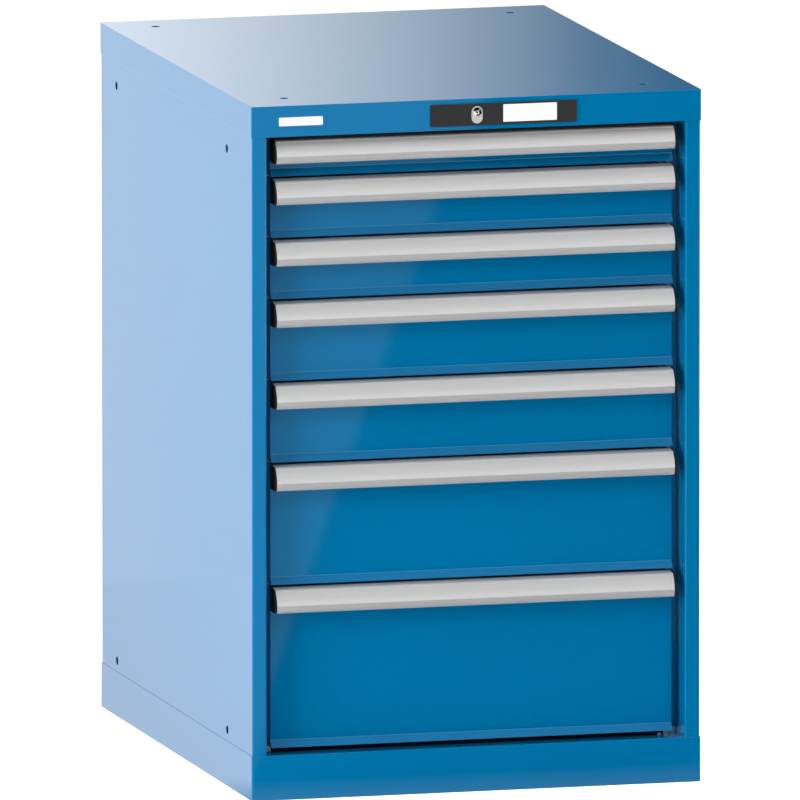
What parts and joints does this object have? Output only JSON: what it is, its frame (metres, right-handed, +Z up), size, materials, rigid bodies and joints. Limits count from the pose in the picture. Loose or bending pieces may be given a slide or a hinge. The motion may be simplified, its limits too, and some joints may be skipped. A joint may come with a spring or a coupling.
{
  "type": "modular drawer cabinet",
  "caption": "Free-standing steel drawer cabinet with full-extension drawers of stepped heights, full-width handle strips and one central lock in the top band.",
  "frame": {"origin": "on the floor, at the middle of the housing in plan", "axes": "+X to the right seen from the front, +Y to the back, +Z up; the drawer fronts face -Y"},
  "size_m": [0.564, 0.728, 0.85],
  "materials": {
    "housing_paint": "gloss powder coat, blue",
    "front_paint": "gloss powder coat, blue",
    "box_paint": "light grey powder coat",
    "zinc_steel": "zinc plated",
    "handle_aluminium": "satin anodised",
    "black_plastic": "matt",
    "strip_plastic": "matt, finely grained",
    "card": "plain white card",
    "lock_chrome": "satin nickel",
    "nylon": "natural nylon"
  },
  "bodies": {
    "housing": {"side_wall_left": "housing_paint", "side_wall_right": "housing_paint", "back_panel": "housing_paint", "top_cover": "housing_paint", "top_rail": "housing_paint", "base_plinth": "housing_paint", "floor_panel": "housing_paint", "front_uprights": "zinc_steel", "rear_uprights": "zinc_steel", "cabinet_rails": "zinc_steel", "lock_strip": "strip_plastic", "label_card": "card", "lock_cylinder": "lock_chrome", "lock_guides": "nylon"},
    "drawer_1": {"drawer_1_box": "box_paint", "drawer_1_front": "front_paint", "drawer_1_handle": "handle_aluminium", "drawer_1_end_caps": "black_plastic"},
    "carriage_1": {"runner_1_carriage": "zinc_steel", "runner_1_rollers": "nylon"},
    "drawer_2": {"drawer_2_box": "box_paint", "drawer_2_front": "front_paint", "drawer_2_handle": "handle_aluminium", "drawer_2_end_caps": "black_plastic"},
    "carriage_2": {"runner_2_carriage": "zinc_steel", "runner_2_rollers": "nylon"},
    "drawer_3": {"drawer_3_box": "box_paint", "drawer_3_front": "front_paint", "drawer_3_handle": "handle_aluminium", "drawer_3_end_caps": "black_plastic"},
    "carriage_3": {"runner_3_carriage": "zinc_steel", "runner_3_rollers": "nylon"},
    "drawer_4": {"drawer_4_box": "box_paint", "drawer_4_front": "front_paint", "drawer_4_handle": "handle_aluminium", "drawer_4_end_caps": "black_plastic"},
    "carriage_4": {"runner_4_carriage": "zinc_steel", "runner_4_rollers": "nylon"},
    "drawer_5": {"drawer_5_box": "box_paint", "drawer_5_front": "front_paint", "drawer_5_handle": "handle_aluminium", "drawer_5_end_caps": "black_plastic"},
    "carriage_5": {"runner_5_carriage": "zinc_steel", "runner_5_rollers": "nylon"},
    "drawer_6": {"drawer_6_box": "box_paint", "drawer_6_front": "front_paint", "drawer_6_handle": "handle_aluminium", "drawer_6_end_caps": "black_plastic"},
    "carriage_6": {"runner_6_carriage": "zinc_steel", "runner_6_rollers": "nylon"},
    "drawer_7": {"drawer_7_box": "box_paint", "drawer_7_front": "front_paint", "drawer_7_handle": "handle_aluminium", "drawer_7_end_caps": "black_plastic"},
    "carriage_7": {"runner_7_carriage": "zinc_steel", "runner_7_rollers": "nylon"},
    "lock_barrel": {"lock_plug": "lock_chrome", "lock_cam": "zinc_steel"},
    "rod": {"lock_rod": "zinc_steel"},
    "bar": {"lock_bar": "zinc_steel"}
  },
  "joints": [
    {"name": "drawer_1_slide", "type": "slide", "parent": "housing", "child": "drawer_1", "axis": [0, -1, 0], "range_m": [0, 0.65]},
    {"name": "runner_1_slide", "type": "slide", "parent": "housing", "child": "carriage_1", "axis": [0, -1, 0], "range_m": [0, 0.325]},
    {"name": "drawer_2_slide", "type": "slide", "parent": "housing", "child": "drawer_2", "axis": [0, -1, 0], "range_m": [0, 0.65]},
    {"name": "runner_2_slide", "type": "slide", "parent": "housing", "child": "carriage_2", "axis": [0, -1, 0], "range_m": [0, 0.325]},
    {"name": "drawer_3_slide", "type": "slide", "parent": "housing", "child": "drawer_3", "axis": [0, -1, 0], "range_m": [0, 0.65]},
    {"name": "runner_3_slide", "type": "slide", "parent": "housing", "child": "carriage_3", "axis": [0, -1, 0], "range_m": [0, 0.325]},
    {"name": "drawer_4_slide", "type": "slide", "parent": "housing", "child": "drawer_4", "axis": [0, -1, 0], "range_m": [0, 0.65]},
    {"name": "runner_4_slide", "type": "slide", "parent": "housing", "child": "carriage_4", "axis": [0, -1, 0], "range_m": [0, 0.325]},
    {"name": "drawer_5_slide", "type": "slide", "parent": "housing", "child": "drawer_5", "axis": [0, -1, 0], "range_m": [0, 0.65]},
    {"name": "runner_5_slide", "type": "slide", "parent": "housing", "child": "carriage_5", "axis": [0, -1, 0], "range_m": [0, 0.325]},
    {"name": "drawer_6_slide", "type": "slide", "parent": "housing", "child": "drawer_6", "axis": [0, -1, 0], "range_m": [0, 0.65]},
    {"name": "runner_6_slide", "type": "slide", "parent": "housing", "child": "carriage_6", "axis": [0, -1, 0], "range_m": [0, 0.325]},
    {"name": "drawer_7_slide", "type": "slide", "parent": "housing", "child": "drawer_7", "axis": [0, -1, 0], "range_m": [0, 0.65]},
    {"name": "runner_7_slide", "type": "slide", "parent": "housing", "child": "carriage_7", "axis": [0, -1, 0], "range_m": [0, 0.325]},
    {"name": "lock_turn", "type": "hinge", "parent": "housing", "child": "lock_barrel", "pos_m": [0, -0.3425, 0.83375], "axis": [0, -1, 0], "range_deg": [0, 90]},
    {"name": "rod_slide", "type": "slide", "parent": "housing", "child": "rod", "axis": [1, 0, 0], "range_m": [0, 0.01131]},
    {"name": "bar_lift", "type": "slide", "parent": "housing", "child": "bar", "axis": [0, 0, 1], "range_m": [0, 0.01131]}
  ],
  "couplings": [
    {"joint": "runner_1_slide", "follows": "drawer_1_slide", "ratio": 0.5},
    {"joint": "runner_2_slide", "follows": "drawer_2_slide", "ratio": 0.5},
    {"joint": "runner_3_slide", "follows": "drawer_3_slide", "ratio": 0.5},
    {"joint": "runner_4_slide", "follows": "drawer_4_slide", "ratio": 0.5},
    {"joint": "runner_5_slide", "follows": "drawer_5_slide", "ratio": 0.5},
    {"joint": "runner_6_slide", "follows": "drawer_6_slide", "ratio": 0.5},
    {"joint": "runner_7_slide", "follows": "drawer_7_slide", "ratio": 0.5},
    {"joint": "rod_slide", "follows": "bar_lift", "ratio": 1},
    {"joint": "lock_turn", "follows": "bar_lift", "rad_per_m": 138.84}
  ]
}
